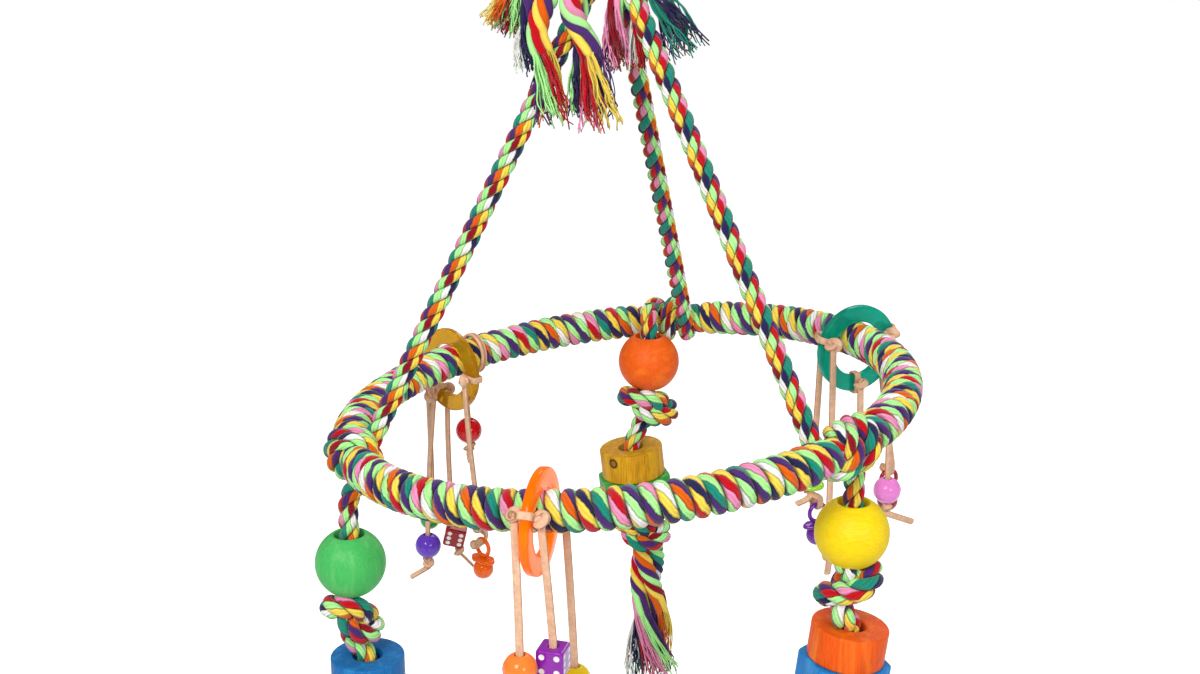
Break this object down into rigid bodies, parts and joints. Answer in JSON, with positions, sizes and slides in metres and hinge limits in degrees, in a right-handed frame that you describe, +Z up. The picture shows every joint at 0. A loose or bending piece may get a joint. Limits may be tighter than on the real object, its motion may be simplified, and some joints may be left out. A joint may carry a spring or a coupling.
{
  "type": "bird swing",
  "caption": "Hanging bird swing: rope-wound hoop on knotted rope legs, with wooden pendants ending in frayed tassels and clear rings of beaded leather laces.",
  "frame": {"origin": "inside top of the quick link, where it hangs on a cage bar or hook", "axes": "+Z up along the hanging line, +X to the right and -Y towards the viewer of the front; the hoop lies near level below"},
  "size_m": [0.4057, 0.4042, 0.7706],
  "materials": {
    "nickel_steel": "bright nickel-plated wire",
    "core_steel": "satin grey rod",
    "rope_mixed": "matt laid cotton rope in mixed colours",
    "wrap_mixed": "matt wound cotton rope in mixed colours",
    "tassel_cotton": "matt frayed cotton yarn in mixed colours",
    "tail_cotton": "matt frayed cotton yarn in mixed colours",
    "wood_green": "dyed wood, satin",
    "wood_yellow": "dyed wood, satin",
    "wood_orange": "dyed wood, satin",
    "wood_blue": "dyed wood, satin",
    "wood_ochre": "dyed wood, satin",
    "wood_olive": "dyed wood, satin",
    "wood_leaf": "dyed wood, satin",
    "acrylic_amber": "clear tinted acrylic, polished",
    "acrylic_orange": "clear tinted acrylic, polished",
    "acrylic_teal": "clear tinted acrylic, polished",
    "lace_leather": "undyed leather lace",
    "plastic_green": "moulded plastic",
    "plastic_purple": "moulded plastic",
    "plastic_red": "moulded plastic",
    "plastic_dark_red": "moulded plastic with white pips",
    "plastic_lime": "moulded plastic",
    "plastic_orange": "moulded plastic",
    "plastic_violet": "moulded plastic with white pips",
    "plastic_yellow": "moulded plastic",
    "plastic_blue": "moulded plastic",
    "plastic_pink": "moulded plastic"
  },
  "bodies": {
    "link": {"quick_link": "nickel_steel"},
    "sleeve": {"link_sleeve": "nickel_steel"},
    "top ring": {"top_ring": "nickel_steel"},
    "hoop frame": {"apex_knot": "rope_mixed", "tail_left": "tail_cotton", "tail_middle": "tail_cotton", "tail_right": "tail_cotton", "leg_left": "rope_mixed", "leg_right": "rope_mixed", "leg_back": "rope_mixed", "hoop_core": "core_steel", "wrap_front": "wrap_mixed", "wrap_right": "wrap_mixed", "wrap_back": "wrap_mixed"},
    "left pendant": {"rope_left": "rope_mixed", "tassel_left": "tassel_cotton"},
    "left ball": {"ball_green": "wood_green"},
    "left drum": {"drum_blue": "wood_blue"},
    "left block": {"block_olive": "wood_olive"},
    "right pendant": {"rope_right": "rope_mixed", "tassel_right": "tassel_cotton"},
    "right ball": {"ball_yellow": "wood_yellow"},
    "right drum": {"drum_orange": "wood_orange"},
    "right block": {"block_blue": "wood_blue"},
    "back pendant": {"rope_back": "rope_mixed", "tassel_back": "tassel_cotton"},
    "back ball": {"ball_orange": "wood_orange"},
    "back drum": {"drum_ochre": "wood_ochre"},
    "back block": {"block_green": "wood_leaf"},
    "amber ring": {"acrylic_amber": "acrylic_amber", "ties_amber": "lace_leather"},
    "orange ring": {"acrylic_orange": "acrylic_orange", "ties_orange": "lace_leather"},
    "teal ring": {"acrylic_teal": "acrylic_teal", "ties_teal": "lace_leather"},
    "amber left laces": {"laces_amber_left": "lace_leather"},
    "amber right lace": {"lace_amber_right": "lace_leather"},
    "hoop lace": {"lace_hoop": "lace_leather"},
    "green dummy": {"dummy_green": "plastic_green"},
    "purple bead": {"bead_purple": "plastic_purple"},
    "red die": {"die_red": "plastic_dark_red"},
    "red bead": {"bead_red": "plastic_red"},
    "amber lime ring": {"lime_ring_amber": "plastic_lime"},
    "orange dummy": {"dummy_orange": "plastic_orange"},
    "orange front laces": {"laces_orange_front": "lace_leather"},
    "orange back lace": {"lace_orange_back": "lace_leather"},
    "orange bead": {"bead_orange": "plastic_orange"},
    "purple die": {"die_purple": "plastic_violet"},
    "yellow bead": {"bead_yellow": "plastic_yellow"},
    "teal left laces": {"laces_teal_left": "lace_leather"},
    "teal middle lace": {"lace_teal_middle": "lace_leather"},
    "teal right laces": {"laces_teal_right": "lace_leather"},
    "teal lime ring": {"lime_ring_teal": "plastic_lime"},
    "purple dummy": {"dummy_purple": "plastic_violet"},
    "blue bead": {"bead_blue": "plastic_blue"},
    "green die": {"die_green": "plastic_green"},
    "pink bead": {"bead_pink": "plastic_pink"},
    "red dummy": {"dummy_red": "plastic_red"}
  },
  "joints": [
    {"name": "sleeve_travel", "type": "slide", "parent": "link", "child": "sleeve", "axis": [0, 0, -1], "range_m": [0, 0.0105]},
    {"name": "ring_swing", "type": "hinge", "parent": "link", "child": "top ring", "pos_m": [0, 0, -0.043], "axis": [0, 1, 0], "range_deg": [-20, 20]},
    {"name": "frame_swing", "type": "hinge", "parent": "top ring", "child": "hoop frame", "pos_m": [0, 0, -0.0737], "axis": [1, 0, 0], "range_deg": [-20, 20]},
    {"name": "left_pendant_swing", "type": "hinge", "parent": "hoop frame", "child": "left pendant", "pos_m": [-0.16432, -0.06156, -0.46609], "axis": [0.3346, -0.9424, 0], "range_deg": [-25, 25]},
    {"name": "left_ball_turn", "type": "hinge", "parent": "left pendant", "child": "left ball", "pos_m": [-0.16432, -0.06156, -0.49809], "axis": [0, 0, 1], "continuous": true},
    {"name": "left_drum_turn", "type": "hinge", "parent": "left pendant", "child": "left drum", "pos_m": [-0.15632, -0.06156, -0.56209], "axis": [0, 0, 1], "continuous": true},
    {"name": "left_block_turn", "type": "hinge", "parent": "left pendant", "child": "left block", "pos_m": [-0.15632, -0.06156, -0.56209], "axis": [0, 0, 1], "continuous": true},
    {"name": "right_pendant_swing", "type": "hinge", "parent": "hoop frame", "child": "right pendant", "pos_m": [0.14147, -0.11057, -0.42554], "axis": [0.6354, 0.7721, 0], "range_deg": [-25, 25]},
    {"name": "right_ball_turn", "type": "hinge", "parent": "right pendant", "child": "right ball", "pos_m": [0.14147, -0.11057, -0.45554], "axis": [0, 0, 1], "continuous": true},
    {"name": "right_drum_turn", "type": "hinge", "parent": "right pendant", "child": "right drum", "pos_m": [0.14347, -0.11057, -0.51554], "axis": [0.1132, 0, 0.9936], "continuous": true},
    {"name": "right_block_turn", "type": "hinge", "parent": "right pendant", "child": "right block", "pos_m": [0.14347, -0.11057, -0.51554], "axis": [0.1132, 0, 0.9936], "continuous": true},
    {"name": "back_pendant_swing", "type": "hinge", "parent": "hoop frame", "child": "back pendant", "pos_m": [0.02776, 0.14564, -0.40837], "axis": [-0.9908, 0.1355, 0], "range_deg": [0, 25]},
    {"name": "back_ball_turn", "type": "hinge", "parent": "back pendant", "child": "back ball", "pos_m": [0.02776, 0.14564, -0.43137], "axis": [0, 0, 1], "continuous": true},
    {"name": "back_drum_turn", "type": "hinge", "parent": "back pendant", "child": "back drum", "pos_m": [0.01476, 0.14564, -0.49837], "axis": [-0.1132, 0, 0.9936], "continuous": true},
    {"name": "back_block_turn", "type": "hinge", "parent": "back pendant", "child": "back block", "pos_m": [0.01476, 0.14564, -0.49837], "axis": [-0.1132, 0, 0.9936], "continuous": true},
    {"name": "amber_ring_swing", "type": "hinge", "parent": "hoop frame", "child": "amber ring", "pos_m": [-0.11724, 0.12568, -0.42537], "axis": [-0.7061, -0.7081, 0], "range_deg": [-20, 20]},
    {"name": "orange_ring_swing", "type": "hinge", "parent": "hoop frame", "child": "orange ring", "pos_m": [-0.04012, -0.17128, -0.41658], "axis": [0.9623, -0.2721, 0], "range_deg": [-20, 20]},
    {"name": "teal_ring_swing", "type": "hinge", "parent": "hoop frame", "child": "teal ring", "pos_m": [0.16884, 0.07402, -0.39277], "axis": [-0.4158, 0.9094, 0], "range_deg": [-20, 20]},
    {"name": "amber_left_laces_swing", "type": "hinge", "parent": "amber ring", "child": "amber left laces", "pos_m": [-0.12678, 0.1352, -0.45222], "axis": [-0.7061, -0.7081, 0], "range_deg": [-25, 3]},
    {"name": "amber_right_lace_swing", "type": "hinge", "parent": "amber ring", "child": "amber right lace", "pos_m": [-0.10509, 0.10284, -0.43233], "axis": [-0.7081, 0.7061, 0], "range_deg": [-8, 20]},
    {"name": "hoop_lace_swing", "type": "hinge", "parent": "hoop frame", "child": "hoop lace", "pos_m": [-0.10108, 0.14011, -0.42353], "axis": [-0.7871, -0.6168, 0], "range_deg": [-15, 20]},
    {"name": "dummy_green_swing", "type": "hinge", "parent": "amber left laces", "child": "green dummy", "pos_m": [-0.13849, 0.15111, -0.54346], "axis": [-0.7061, -0.7081, 0], "range_deg": [-25, 14]},
    {"name": "bead_purple_turn", "type": "hinge", "parent": "amber left laces", "child": "purple bead", "pos_m": [-0.13846, 0.13414, -0.57447], "axis": [0, 0, 1], "continuous": true},
    {"name": "die_red_turn", "type": "hinge", "parent": "amber left laces", "child": "red die", "pos_m": [-0.11796, 0.13912, -0.56646], "axis": [0, 0, 1], "continuous": true},
    {"name": "bead_red_turn", "type": "hinge", "parent": "hoop lace", "child": "red bead", "pos_m": [-0.10663, 0.14719, -0.48653], "axis": [0, 0, 1], "continuous": true},
    {"name": "lime_ring_amber_turn", "type": "hinge", "parent": "amber right lace", "child": "amber lime ring", "pos_m": [-0.09669, 0.09814, -0.53946], "axis": [0, 0, 1], "continuous": true},
    {"name": "dummy_orange_swing", "type": "hinge", "parent": "amber right lace", "child": "orange dummy", "pos_m": [-0.09386, 0.09531, -0.55846], "axis": [-0.7061, -0.7081, 0], "range_deg": [-25, 25]},
    {"name": "orange_front_laces_swing", "type": "hinge", "parent": "orange ring", "child": "orange front laces", "pos_m": [-0.04607, -0.19231, -0.41106], "axis": [0.9623, -0.2721, 0], "range_deg": [-20, 6]},
    {"name": "orange_back_lace_swing", "type": "hinge", "parent": "orange ring", "child": "orange back lace", "pos_m": [-0.02652, -0.15112, -0.43155], "axis": [-0.2721, -0.9623, 0], "range_deg": [-8, 20]},
    {"name": "bead_orange_turn", "type": "hinge", "parent": "orange front laces", "child": "orange bead", "pos_m": [-0.05075, -0.20153, -0.49668], "axis": [0, 0, 1], "continuous": true},
    {"name": "die_purple_turn", "type": "hinge", "parent": "orange front laces", "child": "purple die", "pos_m": [-0.03293, -0.18995, -0.49668], "axis": [0, 0, 1], "continuous": true},
    {"name": "bead_yellow_turn", "type": "hinge", "parent": "orange back lace", "child": "yellow bead", "pos_m": [-0.02204, -0.15146, -0.53068], "axis": [0, 0, 1], "continuous": true},
    {"name": "teal_left_laces_swing", "type": "hinge", "parent": "teal ring", "child": "teal left laces", "pos_m": [0.14743, 0.06423, -0.39122], "axis": [-0.4158, 0.9094, 0], "range_deg": [-1, 20]},
    {"name": "teal_middle_lace_swing", "type": "hinge", "parent": "teal ring", "child": "teal middle lace", "pos_m": [0.172, 0.0671, -0.42362], "axis": [0.9094, 0.4158, 0], "range_deg": [-20, 6]},
    {"name": "teal_right_laces_swing", "type": "hinge", "parent": "teal ring", "child": "teal right laces", "pos_m": [0.18971, 0.08356, -0.3896], "axis": [-0.4158, 0.9094, 0], "range_deg": [-20, 1]},
    {"name": "lime_ring_teal_turn", "type": "hinge", "parent": "teal left laces", "child": "teal lime ring", "pos_m": [0.14088, 0.06783, -0.49787], "axis": [0, 0, 1], "continuous": true},
    {"name": "dummy_purple_swing", "type": "hinge", "parent": "teal left laces", "child": "purple dummy", "pos_m": [0.14634, 0.07032, -0.51987], "axis": [-0.4158, 0.9094, 0], "range_deg": [-10, 20]},
    {"name": "bead_blue_turn", "type": "hinge", "parent": "teal left laces", "child": "blue bead", "pos_m": [0.152, 0.05312, -0.53087], "axis": [0, 0, 1], "continuous": true},
    {"name": "die_green_turn", "type": "hinge", "parent": "teal middle lace", "child": "green die", "pos_m": [0.17497, 0.07022, -0.52487], "axis": [0, 0, 1], "continuous": true},
    {"name": "bead_pink_turn", "type": "hinge", "parent": "teal right laces", "child": "pink bead", "pos_m": [0.19573, 0.07532, -0.50487], "axis": [0, 0, 1], "continuous": true},
    {"name": "dummy_red_swing", "type": "hinge", "parent": "teal right laces", "child": "red dummy", "pos_m": [0.2, 0.09486, -0.50387], "axis": [-0.4158, 0.9094, 0], "range_deg": [-20, 0]}
  ]
}
